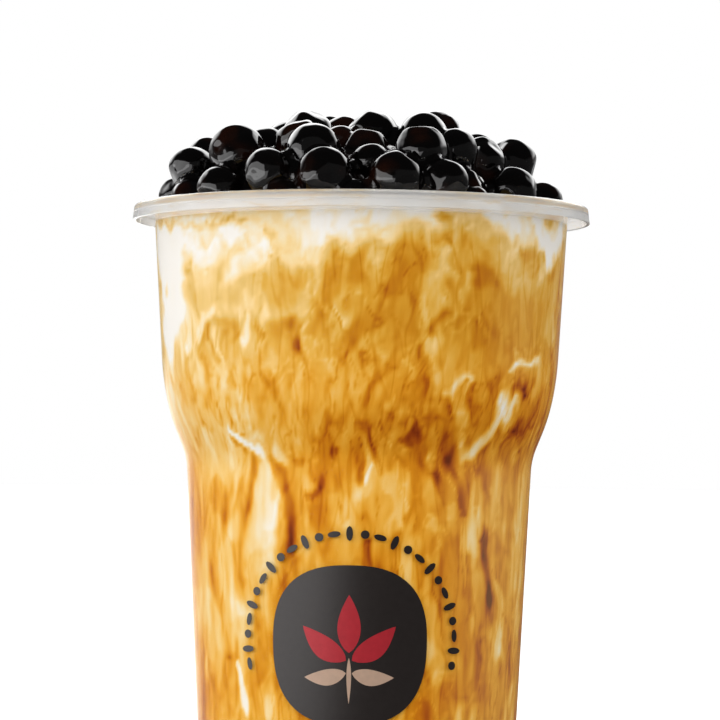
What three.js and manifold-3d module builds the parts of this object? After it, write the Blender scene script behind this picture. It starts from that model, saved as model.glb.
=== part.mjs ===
// A bubble tea: a clear plastic cup with a flared upper body, filled to the rim with milk and
// brown sugar syrup, and a heap of glossy tapioca pearls that stands above the rim.
// Millimetres, +Z up. The origin is the centre of the foot's underside, on the table.
import * as THREE from "three";
import { mergeVertices } from "three/addons/utils/BufferGeometryUtils.js";
import Module from "manifold-3d";

const wasm = await Module();
wasm.setup();

// Driving dimensions of the cup
const rimDiameter = 95;
const cupHeight = 130;
const wall = 0.9;
const floorThickness = 1.3;
const footRecess = 1.6;
const footWidth = 1.5;
const lowerWallRadius = 31.8; // the lower wall's outer radius, carried down to the table
const lowerDraft = 0.0515; // growth of the radius for each millimetre of height
const flareDraft = 0.4; // the same, on the shoulder
const flareRadius = 38.06; // the shoulder passes this radius at flareHeight
const flareHeight = 83.3;
const upperWallRadius = 35.35; // the upper wall's outer radius, carried down to the table
const upperDraft = 0.059;
const waistBend = 2.4; // half the length of the bend under the shoulder
const shoulderBend = [6.5, 9.2]; // length of the bend over the shoulder, below and above its corner

// The rim: a flat plate round the mouth with a short skirt hanging from its edge
const rimPlate = 1.45;
const skirtDepth = 3.45;
const skirtThickness = 0.8;
const skirtFlare = 0.3; // how far the skirt's foot stands out past its top
const rimRounding = 0.9;

// Fits between the pieces
const gap = 0.3;
const drinkLevel = cupHeight - 1.0;

// The heap of pearls
const heapTop = 19.4; // the highest pearl's top above the rim
const heapReach = 42.2; // the widest pearl's edge from the axis

// The pearls at the front, one by one: how far across from the middle, how far out from the
// axis, the centre's height above the rim, and the radius
const frontPearls = [
  [-38, 38, 1.8, 4.2],
  [-34.8, 37.4, 0, 4.4],
  [-28.3, 37.2, 1.4, 4.9],
  [-18.7, 36.8, 4.2, 5.1],
  [-15.9, 38.1, -2.2, 4],
  [-7.3, 37, 3.6, 5.5],
  [-1.7, 38.2, -1.3, 4],
  [6.9, 37.4, 3, 5.4],
  [16.5, 37.7, 2.3, 4.8],
  [20.7, 33.2, 1.6, 4.5],
  [25.6, 30, 2.9, 4.5],
  [30.5, 37.2, 1.7, 5],
  [37.2, 37.5, 0.5, 4.7],
  [-34.9, 36, 7, 4.8],
  [-25.4, 31, 9.6, 5.7],
  [-9.6, 30.5, 9, 5.4],
  [2.2, 30.4, 5.7, 4.8],
  [12, 31, 9.2, 5.3],
  [18.8, 28.5, 9.6, 4.9],
  [24.7, 28.6, 8.8, 4.7],
  [30.9, 31.6, 8.7, 5.1],
  [-19.9, 22.3, 10.8, 4.8],
  [-12.8, 23, 11.4, 5],
  [-4.3, 19.5, 10.9, 4.1],
  [1, 22.4, 9.1, 5.1],
  [12.6, 22, 12.8, 5.1],
  [-11.3, 14, 14.1, 5.3],
  [2.4, 14.5, 13.2, 5.6],
  [15.6, 17.5, 14.4, 4.9],
  [-3.7, 4.2, 14, 4.7],
];

// The pearls behind them, in rings round the axis, from rowsStart to the back
const pearlRadius = 4.9;
const pearlSizeSpread = 0.45;
const rowsStart = -2;
const pearlRows = [
  { count: 22, distance: 37.2, height: 2.6, bearing: -12 },
  { count: 20, distance: 32, height: 6.6, bearing: -2.5 },
  { count: 15, distance: 24.6, height: 9.6, bearing: -8 },
  { count: 10, distance: 15.6, height: 12, bearing: 4 },
  { count: 4, distance: 7.4, height: 13.2, bearing: 50 },
];
const rowSpread = { bearing: 0.2, distance: 0.9, height: 0.7 };
const closeness = 0.94; // pearls press into each other down to this share of their radii
const settlingPasses = 40;
const flattest = 0.93; // the flattest pearl's thickness as a share of its width
const pearlDetail = 1;

// The dome under the pearls, as distances from the axis and heights above the rim
const coreOutline = [
  [36, 0],
  [34.6, 2],
  [29.5, 6.6],
  [22, 9.6],
  [12, 11.6],
  [0, 12.2],
];

const roundSides = 52;
const heapSides = 20;

// A seeded random number from 0 to 1, the same on every run.
let seed = 2024;
function draw() {
  seed = (seed * 16807) % 2147483647;
  return seed / 2147483647;
}
const spread = (amount) => (2 * draw() - 1) * amount;

const lowerWall = (z) => lowerWallRadius + lowerDraft * z;
const flareWall = (z) => flareRadius + flareDraft * (z - flareHeight);
const upperWall = (z) => upperWallRadius + upperDraft * z;

// The heights where the three straight parts of the wall would meet in sharp corners.
const waistHeight =
  (lowerWallRadius - flareRadius + flareDraft * flareHeight) / (flareDraft - lowerDraft);
const shoulderHeight =
  (upperWallRadius - flareRadius + flareDraft * flareHeight) / (flareDraft - upperDraft);

// A bend between two straight walls: points from `below` to `above` its sharp corner.
function bend(corner, below, above, wallUnder, wallOver, steps) {
  const curve = new THREE.QuadraticBezierCurve(
    new THREE.Vector2(wallUnder(corner - below), corner - below),
    new THREE.Vector2(wallUnder(corner), corner),
    new THREE.Vector2(wallOver(corner + above), corner + above),
  );
  return curve.getPoints(steps);
}

// The side wall from the waist up to the top of the shoulder, moved in by `inset`.
function sideCurve(inset) {
  return [
    ...bend(waistHeight, waistBend, waistBend, lowerWall, flareWall, 2),
    ...bend(shoulderHeight, ...shoulderBend, flareWall, upperWall, 4),
  ].map((p) => new THREE.Vector2(p.x - inset, p.y));
}

// A quarter-round corner as points, from one angle to another in degrees.
function corner(x, z, radius, from, to, steps) {
  return Array.from({ length: steps + 1 }, (_, i) => {
    const a = THREE.MathUtils.degToRad(from + ((to - from) * i) / steps);
    return new THREE.Vector2(x + radius * Math.cos(a), z + radius * Math.sin(a));
  });
}

// Turns a profile of (radius, height) points about the Z axis.
function turned(profile, sides = roundSides) {
  return new THREE.LatheGeometry(profile, sides).rotateX(Math.PI / 2);
}

// The inside of the cup, moved in by `inset`, from the axis at the bottom up to the height `top`.
function insideProfile(inset, top) {
  const bottom = footRecess + floorThickness + inset;
  const bendRadius = 3;
  const side = lowerWall(bottom + bendRadius) - wall - inset;
  return [
    new THREE.Vector2(0, bottom),
    ...corner(side - bendRadius, bottom + bendRadius, bendRadius, -90, 0, 2),
    ...sideCurve(wall + inset),
    new THREE.Vector2(upperWall(top) - wall - inset, top),
  ];
}

function cupProfile() {
  const rimRadius = rimDiameter / 2;
  const footCorner = 2;
  const footSide = lowerWall(footCorner);
  const footInner = footSide - footCorner - footWidth;
  const plateBottom = cupHeight - rimPlate;
  const skirtBottom = cupHeight - skirtDepth;
  const skirtTop = rimRadius - skirtFlare;
  const neck = upperWall(plateBottom);
  const lip = 0.45; // the rounding of the mouth's inner edge
  const outside = [
    new THREE.Vector2(0, footRecess),
    new THREE.Vector2(footInner - footRecess / 2, footRecess),
    new THREE.Vector2(footInner, 0),
    ...corner(footSide - footCorner, footCorner, footCorner, -90, 0, 2),
    ...sideCurve(0),
    new THREE.Vector2(upperWall(plateBottom - 0.6), plateBottom - 0.6),
    new THREE.Vector2(neck + 0.6, plateBottom),
    new THREE.Vector2(skirtTop - skirtThickness, plateBottom),
    new THREE.Vector2(rimRadius - skirtThickness + 0.1, skirtBottom + 0.1),
    new THREE.Vector2(rimRadius - 0.15, skirtBottom),
    new THREE.Vector2(rimRadius, skirtBottom + 0.15),
    ...corner(skirtTop - rimRounding, cupHeight - rimRounding, rimRounding, 0, 90, 3),
  ];
  const mouth = upperWall(cupHeight) - wall;
  const inside = insideProfile(0, cupHeight - lip).reverse();
  return [...outside, ...corner(mouth + lip, cupHeight - lip, lip, 90, 150, 1), ...inside];
}

// One pearl of the heap, with a seeded flatness and turn. A held pearl keeps its place.
function pearl(x, y, height, radius, held) {
  return {
    centre: new THREE.Vector3(x, y, cupHeight + height),
    radius,
    flatness: 1 - (1 - flattest) * draw(),
    turn: [draw() * Math.PI, draw() * Math.PI],
    held,
  };
}

// Puts the front pearls in their places and the others in their rows, with small differences.
function scatterPearls() {
  const pearls = frontPearls.map(([across, out, height, radius]) =>
    pearl(across, -Math.sqrt(out ** 2 - across ** 2), height, radius, true),
  );
  for (const row of pearlRows)
    for (let i = 0; i < row.count; i++) {
      const step = 360 / row.count;
      const bearing = row.bearing + (i + spread(rowSpread.bearing)) * step;
      const distance = row.distance + spread(rowSpread.distance);
      const height = row.height + spread(rowSpread.height);
      const radius = pearlRadius + spread(pearlSizeSpread);
      const angle = THREE.MathUtils.degToRad(bearing);
      const [x, y] = [distance * Math.sin(angle), -distance * Math.cos(angle)];
      const placed = pearl(x, y, height, radius, false);
      if (y > rowsStart) pearls.push(placed);
    }
  return pearls;
}

// Pushes apart pearls that overlap too far, and keeps each one on the drink and inside the heap.
function settle(pearls) {
  for (let pass = 0; pass < settlingPasses; pass++) {
    pearls.forEach((a, i) => {
      for (const b of pearls.slice(i + 1)) {
        const apart = b.centre.clone().sub(a.centre);
        const short = closeness * (a.radius + b.radius) - apart.length();
        if (short <= 0 || (a.held && b.held)) continue;
        const share = a.held || b.held ? short : short / 2;
        apart.setLength(share);
        if (!a.held) a.centre.sub(apart);
        if (!b.held) b.centre.add(apart);
      }
    });
    for (const { centre, radius, held } of pearls) {
      if (held) continue;
      const reach = Math.hypot(centre.x, centre.y);
      const most = Math.min(reach, heapReach - radius) / reach;
      centre.x *= most;
      centre.y *= most;
      const lowest = drinkLevel + 0.4 * radius;
      const highest = cupHeight + heapTop - radius;
      centre.z = Math.min(Math.max(centre.z, lowest), highest);
    }
  }
  return pearls;
}

// One closed mesh as a solid for joining and cutting.
function solid(geometry) {
  const bare = geometry.clone();
  bare.deleteAttribute("normal");
  bare.deleteAttribute("uv");
  const merged = mergeVertices(bare, 1e-4);
  return new wasm.Manifold(
    new wasm.Mesh({
      numProp: 3,
      vertProperties: merged.attributes.position.array,
      triVerts: new Uint32Array(merged.index.array),
    }),
  );
}

function geometryOf(manifold) {
  const { vertProperties, triVerts } = manifold.getMesh();
  const geometry = new THREE.BufferGeometry();
  geometry.setAttribute("position", new THREE.BufferAttribute(vertProperties, 3));
  geometry.setIndex(new THREE.BufferAttribute(triVerts, 1));
  geometry.computeVertexNormals();
  return geometry;
}

function pearlSolid({ centre, radius, flatness, turn }) {
  const ball = new THREE.IcosahedronGeometry(radius, pearlDetail);
  ball.scale(1, 1, flatness).rotateX(turn[0]).rotateZ(turn[1]);
  return solid(ball.translate(centre.x, centre.y, centre.z));
}

// The dome under the pearls
function heapCore() {
  const base = drinkLevel + gap;
  const profile = [
    new THREE.Vector2(0, base),
    new THREE.Vector2(coreOutline[0][0], base),
    ...coreOutline.map(([distance, height]) => new THREE.Vector2(distance, cupHeight + height)),
  ];
  return solid(turned(profile, heapSides));
}

// The space that the heap keeps to: above the drink, and clear of the cup's mouth.
function heapRoom() {
  const base = drinkLevel + gap;
  const mouth = upperWall(base) - wall - gap;
  const overRim = cupHeight + gap;
  const profile = [
    new THREE.Vector2(0, base),
    new THREE.Vector2(mouth, base),
    new THREE.Vector2(mouth, overRim),
    new THREE.Vector2(rimDiameter / 2, overRim),
    new THREE.Vector2(rimDiameter / 2, cupHeight + 2 * heapTop),
    new THREE.Vector2(0, cupHeight + 2 * heapTop),
  ];
  return solid(turned(profile, heapSides));
}

// The heap's outer skin alone, which fills any hollow sealed between pearls and drops loose scraps.
function heap() {
  const joined = settle(scatterPearls())
    .map(pearlSolid)
    .reduce((whole, pearl) => whole.add(pearl), heapCore());
  const skins = joined.intersect(heapRoom()).decompose();
  return skins.reduce((largest, skin) => (skin.volume() > largest.volume() ? skin : largest));
}

const clearPlastic = new THREE.MeshStandardMaterial({
  color: 0xeef1f2,
  roughness: 0.08,
  metalness: 0,
  transparent: true,
  opacity: 0.35,
});
const milkAndSyrup = new THREE.MeshStandardMaterial({
  color: 0xe0ab57,
  roughness: 0.35,
  metalness: 0,
});
const tapioca = new THREE.MeshStandardMaterial({
  color: 0x1c0f0b,
  roughness: 0.08,
  metalness: 0,
});

function piece(name, geometry, material) {
  const mesh = new THREE.Mesh(geometry, material);
  mesh.name = name;
  return mesh;
}

const bubbleTea = new THREE.Group();
bubbleTea.add(piece("cup", turned(cupProfile()), clearPlastic));

const drinkProfile = [...insideProfile(gap, drinkLevel), new THREE.Vector2(0, drinkLevel)];
bubbleTea.add(piece("drink", turned(drinkProfile), milkAndSyrup));

bubbleTea.add(piece("pearls", geometryOf(heap()), tapioca));

export default bubbleTea;
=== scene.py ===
# The looks of the bubble tea: a clear flared cup, milk with brown sugar syrup running through it,
# and a heap of wet tapioca pearls that stands above the rim.
# Blender works in metres, +Z up, and -Y faces the camera. Sizes here are in millimetres unless
# a name says otherwise, and MM turns them into metres.
import math

import bmesh
import bpy
import numpy as np
from mathutils import Matrix, Vector


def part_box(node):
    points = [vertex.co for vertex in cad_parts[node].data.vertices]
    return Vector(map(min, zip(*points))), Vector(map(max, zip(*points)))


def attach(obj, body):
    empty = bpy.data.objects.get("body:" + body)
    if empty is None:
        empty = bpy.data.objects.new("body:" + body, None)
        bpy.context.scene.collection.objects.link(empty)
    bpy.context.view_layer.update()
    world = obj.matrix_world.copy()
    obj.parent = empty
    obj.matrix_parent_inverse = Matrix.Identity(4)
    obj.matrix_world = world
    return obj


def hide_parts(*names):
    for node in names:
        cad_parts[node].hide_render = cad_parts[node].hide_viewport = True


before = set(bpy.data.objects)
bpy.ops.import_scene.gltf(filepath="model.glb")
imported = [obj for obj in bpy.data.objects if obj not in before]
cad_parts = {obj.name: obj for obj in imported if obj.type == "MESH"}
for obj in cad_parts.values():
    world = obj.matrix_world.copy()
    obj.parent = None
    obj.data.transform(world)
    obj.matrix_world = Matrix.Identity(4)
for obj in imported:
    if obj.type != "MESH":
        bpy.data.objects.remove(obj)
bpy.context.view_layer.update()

MM = 0.001
BODY = "root"

# The cup's sizes, as in the solids
cup_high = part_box("cup")[1]
RIM_RADIUS = cup_high.x / MM
CUP_HEIGHT = cup_high.z / MM
DRINK_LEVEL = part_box("drink")[1].z / MM
HEAP_TOP = 19.4
WALL = 0.9
FLOOR_THICKNESS = 1.3
FOOT_RECESS = 1.6
FOOT_WIDTH = 1.5
LOWER_WALL_RADIUS = 31.8
LOWER_DRAFT = 0.0515
FLARE_DRAFT = 0.4
FLARE_RADIUS = 38.06
FLARE_HEIGHT = 83.3
UPPER_WALL_RADIUS = 35.35
UPPER_DRAFT = 0.059
WAIST_BEND = 2.4
SHOULDER_BEND = (6.5, 9.2)
RIM_PLATE = 1.45
SKIRT_DEPTH = 3.45
SKIRT_THICKNESS = 0.8
SKIRT_FLARE = 0.3
RIM_ROUNDING = 0.9
FOOT_CORNER = 2
INSIDE_CORNER = 3
CORNER_STEPS = 8
ROUND_SIDES = 256
DRINK_INTO_WALL = 0.15

# The pearls at the front, one by one, as in the solids: how far across from the middle, how far
# out from the axis, the centre's height above the rim, and the radius
FRONT_PEARLS = [
    (-38, 38, 1.8, 4.2),
    (-34.8, 37.4, 0, 4.4),
    (-28.3, 37.2, 1.4, 4.9),
    (-18.7, 36.8, 4.2, 5.1),
    (-15.9, 38.1, -2.2, 4),
    (-7.3, 37, 3.6, 5.5),
    (-1.7, 38.2, -1.3, 4),
    (6.9, 37.4, 3, 5.4),
    (16.5, 37.7, 2.3, 4.8),
    (20.7, 33.2, 1.6, 4.5),
    (25.6, 30, 2.9, 4.5),
    (30.5, 37.2, 1.7, 5),
    (37.2, 37.5, 0.5, 4.7),
    (-34.9, 36, 7, 4.8),
    (-25.4, 31, 9.6, 5.7),
    (-9.6, 30.5, 9, 5.4),
    (2.2, 30.4, 5.7, 4.8),
    (12, 31, 9.2, 5.3),
    (18.8, 28.5, 9.6, 4.9),
    (24.7, 28.6, 8.8, 4.7),
    (30.9, 31.6, 8.7, 5.1),
    (-19.9, 22.3, 10.8, 4.8),
    (-12.8, 23, 11.4, 5),
    (-4.3, 19.5, 10.9, 4.1),
    (1, 22.4, 9.1, 5.1),
    (12.6, 22, 12.8, 5.1),
    (-11.3, 14, 14.1, 5.3),
    (2.4, 14.5, 13.2, 5.6),
    (15.6, 17.5, 14.4, 4.9),
    (-3.7, 4.2, 14, 4.7),
]

# The pearls behind them, as in the solids: count, distance, height and bearing of each row
PEARL_RADIUS = 4.9
PEARL_SIZE_SPREAD = 0.45
HEAP_REACH = 42.2
ROWS_START = -2
PEARL_ROWS = [
    (22, 37.2, 2.6, -12),
    (20, 32, 6.6, -2.5),
    (15, 24.6, 9.6, -8),
    (10, 15.6, 12, 4),
    (4, 7.4, 13.2, 50),
]
ROW_SPREAD = (0.2, 0.9, 0.7)
CLOSENESS = 0.94
SETTLING_PASSES = 40
FLATTEST = 0.93

# The pearls under them, which show in the gaps
LOW_ROWS = [
    (19, 35.6, -2.4, -3),
    (18, 29.6, 2.6, 8),
    (15, 23.4, 5.0, 3),
    (10, 14.8, 6.0, 20),
    (4, 6, 6.4, 15),
]
LOW_REACH = 41.2
LOW_PASSES = 12
LOW_CLOSENESS = 0.93

# The shape of one pearl: heights and depths are shares of its radius, and widths are in radians
FLAT_SIDES = 9
FLAT_SIDE_HEIGHTS = (0.86, 1.0)
EDGE_SOFTNESS = 0.03
DIMPLES = 3
DIMPLE_WIDTHS = (0.25, 0.5)
DIMPLE_DEPTHS = (0.015, 0.04)
WAVERS = 4
WAVER_HEIGHT = 0.012

# How near the pearls come to the cup's wall
GAP_TO_WALL = 0.25

# The syrup between the pearls: how far it is drawn over them before it is let back down, and how
# far under the pearls' skins it ends
GLAZE_REACH = 0.7
GLAZE_BELOW = 0.12
GLAZE_VOXEL = 0.5
CORE_SIDES = 64

# The camera, on the photograph's viewing line
CAMERA_DISTANCE = 760
CAMERA_HEIGHT = 71.7
CAMERA_PITCH = 1.99
CAMERA_ROLL = 0.5
CAMERA_LENS = 182.85
SENSOR_WIDTH = 36

# The printed badge on the lower wall: its middle, its field, and the arc of marks over it, with
# the half width and half height of each kind of mark
BADGE_HEIGHT = 40.3
BADGE_ACROSS = -1.7
BADGE_RADIUS = 15.9
BADGE_SQUARENESS = 2.5
RING_RADIUS = 22.2
RING_MARKS = 13
RING_STEP = 3
MARKS = [(0.65, 1.5), (0.85, 0.85), (1.3, 0.6)]
INK_UNDER = (-0.03, 0.03)
INK_OVER = (0, 0.06)
INK_ROUGHNESS = 0.35


def lower_wall(z):
    return LOWER_WALL_RADIUS + LOWER_DRAFT * z


def flare_wall(z):
    return FLARE_RADIUS + FLARE_DRAFT * (z - FLARE_HEIGHT)


def upper_wall(z):
    return UPPER_WALL_RADIUS + UPPER_DRAFT * z


FLARE_OFFSET = FLARE_RADIUS - FLARE_DRAFT * FLARE_HEIGHT
WAIST_HEIGHT = (LOWER_WALL_RADIUS - FLARE_OFFSET) / (FLARE_DRAFT - LOWER_DRAFT)
SHOULDER_HEIGHT = (UPPER_WALL_RADIUS - FLARE_OFFSET) / (FLARE_DRAFT - UPPER_DRAFT)


def bend(corner, below, above, wall_under, wall_over, steps):
    """A smooth bend between two straight walls, as points from below to above its sharp corner."""
    start = np.array([wall_under(corner - below), corner - below])
    middle = np.array([wall_under(corner), corner])
    end = np.array([wall_over(corner + above), corner + above])
    shares = np.linspace(0, 1, steps + 1)
    return [(1 - t) ** 2 * start + 2 * t * (1 - t) * middle + t * t * end for t in shares]


def side_curve(inset):
    """The side wall from the waist up to the top of the shoulder, moved in by inset."""
    points = bend(WAIST_HEIGHT, WAIST_BEND, WAIST_BEND, lower_wall, flare_wall, 12)
    points += bend(SHOULDER_HEIGHT, *SHOULDER_BEND, flare_wall, upper_wall, 24)
    return [(p[0] - inset, p[1]) for p in points]


def arc(x, z, radius, start, end, steps):
    """A round corner of the profile, from one angle to another in degrees."""
    angles = np.radians(np.linspace(start, end, steps + 1))
    return [(x + radius * math.cos(a), z + radius * math.sin(a)) for a in angles]


def inside_profile(inset, top):
    """The inside of the cup, moved in by inset, from the axis at the bottom up to a height."""
    bottom = FOOT_RECESS + FLOOR_THICKNESS + inset
    corner = INSIDE_CORNER
    side = lower_wall(bottom + corner) - WALL - inset
    points = [(0, bottom)]
    points += arc(side - corner, bottom + corner, corner, -90, 0, CORNER_STEPS)
    points += side_curve(WALL + inset)
    points += [(upper_wall(top) - WALL - inset, top)]
    return points


def cup_profile():
    """The whole outline, from the axis under the floor round the outside and back inside."""
    foot_side = lower_wall(FOOT_CORNER)
    foot_inner = foot_side - FOOT_CORNER - FOOT_WIDTH
    plate_bottom = CUP_HEIGHT - RIM_PLATE
    skirt_bottom = CUP_HEIGHT - SKIRT_DEPTH
    skirt_top = RIM_RADIUS - SKIRT_FLARE
    neck = upper_wall(plate_bottom)
    fillet = 0.6
    edge = 0.15
    lip = 0.45
    outside = [(0, FOOT_RECESS), (foot_inner - FOOT_RECESS / 2, FOOT_RECESS), (foot_inner, 0)]
    outside += arc(foot_side - FOOT_CORNER, FOOT_CORNER, FOOT_CORNER, -90, 0, CORNER_STEPS)
    outside += side_curve(0)
    outside += arc(neck + fillet, plate_bottom - fillet, fillet, 180, 90, 4)
    outside += [(skirt_top - SKIRT_THICKNESS, plate_bottom)]
    outside += [(RIM_RADIUS - SKIRT_THICKNESS + edge, skirt_bottom + edge / 2)]
    outside += arc(RIM_RADIUS - edge, skirt_bottom + edge, edge, -90, 0, 3)
    outside += arc(skirt_top - RIM_ROUNDING, CUP_HEIGHT - RIM_ROUNDING, RIM_ROUNDING, 0, 90, 8)
    mouth = upper_wall(CUP_HEIGHT) - WALL
    rounding = arc(mouth + lip, CUP_HEIGHT - lip, lip, 90, 170, 5)
    return outside + rounding + inside_profile(0, CUP_HEIGHT - lip)[::-1]


def object_from(name, vertices, faces, material, sharp_degrees=30):
    """A smooth-shaded piece from points in millimetres."""
    mesh = bpy.data.meshes.new(name)
    mesh.from_pydata([tuple(float(c) * MM for c in v) for v in vertices], [], faces)
    mesh.validate()
    mesh.shade_smooth()
    mesh.set_sharp_from_angle(angle=math.radians(sharp_degrees))
    mesh.materials.append(material)
    piece = bpy.data.objects.new(name, mesh)
    bpy.context.scene.collection.objects.link(piece)
    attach(piece, BODY)
    return piece


def turned(profile, sides=ROUND_SIDES):
    """Points and faces of a profile turned about Z. Its two ends lie on the axis."""
    rings = profile[1:-1]
    angles = 2 * math.pi * np.arange(sides) / sides
    vertices = [(0, 0, profile[0][1])]
    for radius, height in rings:
        vertices += [(radius * math.sin(a), -radius * math.cos(a), height) for a in angles]
    vertices.append((0, 0, profile[-1][1]))
    last = len(vertices) - 1
    faces = []
    for i in range(sides):
        j = (i + 1) % sides
        faces.append((0, 1 + j, 1 + i))
        for ring in range(len(rings) - 1):
            low = 1 + ring * sides
            high = low + sides
            faces.append((low + i, low + j, high + j, high + i))
        top = 1 + (len(rings) - 1) * sides
        faces.append((top + i, top + j, last))
    return vertices, faces


# The drink's pattern of milk and syrup on the unrolled wall

SYRUP_AND_PAINTED_LIGHT = "syrup"
WALL_ARC_RADIUS = 38
FULL_TURN = 2 * math.pi * WALL_ARC_RADIUS
PATTERN_COLUMNS = 540
PATTERN_SPACING = 0.75
TALLEST_PATTERN = 180
DEEPEST_PATTERN = 20

# Where the flow fans out in the upper half: the middle along and up, the widths, the angle, and
# the height that it fans out from
FAN_MIDDLE = (9, 100)
FAN_WIDTHS = (12, 13)
FAN_ANGLE = 0.36
FAN_FOOT = 94
WANDER_ANGLE = math.radians(10)

# Heights between which one part of the drink turns into the next, and where the waist is darkest
LOW_BODY = (84, 72)
WAIST_TOP = (96, 88)
WAIST_FOOT = (62, 74)
DARK_WAIST = 82
DARK_WAIST_WIDTH = 7
LINES_FOOT = (74, 82)
LINES_TOP = (116, 106)
MILK = (105, 128)


class Run:
    """One soft-edged run of milk, of syrup, or in two strokes of painted highlight, on the wall:
    the points along its middle line as (along the wall from the front's middle, height), its half
    width, the syrup it adds, and how soft its edge is, from 0 to 1."""

    def __init__(self, points, half_width, syrup, soft=0.6):
        self.points = points
        self.half_width = half_width
        self.syrup = syrup
        self.soft = soft

    def share(self, along, height):
        """How strongly the run covers each point, from 0 to 1."""
        nearest = np.full(along.shape, FULL_TURN)
        for (a0, h0), (a1, h1) in zip(self.points[:-1], self.points[1:]):
            across = (along - a0 + FULL_TURN / 2) % FULL_TURN - FULL_TURN / 2
            up = height - h0
            length = math.hypot(a1 - a0, h1 - h0)
            way = ((a1 - a0) / length, (h1 - h0) / length)
            t = np.clip(across * way[0] + up * way[1], 0, length)
            nearest = np.minimum(nearest, np.hypot(across - t * way[0], up - t * way[1]))
        return 1 - smooth_step(1 - self.soft, 1 + self.soft, nearest / self.half_width)


# Broad fields where the drink is milkier or richer in syrup. Each row has what a run is made of:
# points, half width, syrup and softness
FIELDS = [
    # white milk at the top
    ([(-47, 118), (-46, 104)], 6, -0.5, 0.5),
    ([(-40, 123), (-29, 122.5)], 5, -0.2, 0.8),
    ([(-25, 121), (-22, 117)], 3.6, -0.22, 0.8),
    ([(-19, 124), (-8, 123)], 3.6, -0.16, 0.9),
    ([(8, 121), (14, 120)], 3, -0.08, 0.9),
    ([(-3, 126.5), (8, 126.5)], 5, -0.2, 1),
    ([(-2.6, 121.5), (-2.4, 119)], 2, -0.1, 0.8),
    ([(6, 127.4), (10.8, 126.4)], 3.4, -0.33, 0.9),
    ([(18, 127.6), (22, 127.2)], 2.6, -0.24, 0.8),
    ([(26, 126), (31, 125.5)], 2.8, -0.4, 0.6),
    ([(38, 124), (46, 124)], 3.6, -0.4, 0.6),
    ([(43, 121), (43.6, 117.6)], 2.1, -0.35, 0.7),
    # cream and caramel in the upper half
    ([(-43, 104), (-30, 103.4), (-18, 105)], 2.4, -0.14, 0.8),
    ([(-38, 111), (-20, 110.5)], 4.6, -0.05, 0.8),
    ([(-14, 106), (-10, 104)], 3, -0.14, 0.9),
    ([(17, 103), (17, 99.4)], 2.6, -0.08, 0.8),
    ([(30, 114), (42, 108)], 6.5, -0.06, 0.8),
    ([(20, 98), (30, 97)], 4, -0.07, 0.8),
    # rich syrup in the middle
    ([(2, 114), (14, 110)], 5, 0.05, 0.9),
    ([(-8, 98), (2, 88)], 8, 0.04, 0.9),
    ([(6, 103), (12, 90)], 5, 0.05, 0.9),
    ([(14, 80), (34, 82)], 5, 0.05, 0.9),
    # cream fields in the lower body
    ([(-20.6, 71), (-21.3, 56)], 3.4, -0.19, 0.6),
    ([(-4.6, 71), (-4, 64)], 2.4, -0.1, 0.8),
    ([(16, 69), (16.6, 60.5)], 2.2, -0.14, 0.8),
    ([(29.5, 71), (30.2, 59.5)], 2, -0.18, 0.7),
    ([(38.6, 50), (38.4, 38)], 2, -0.26, 0.6),
    ([(-31.4, 38), (-29.2, 31.5), (-28.6, 25)], 1, -0.4, 0.6),
]
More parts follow.
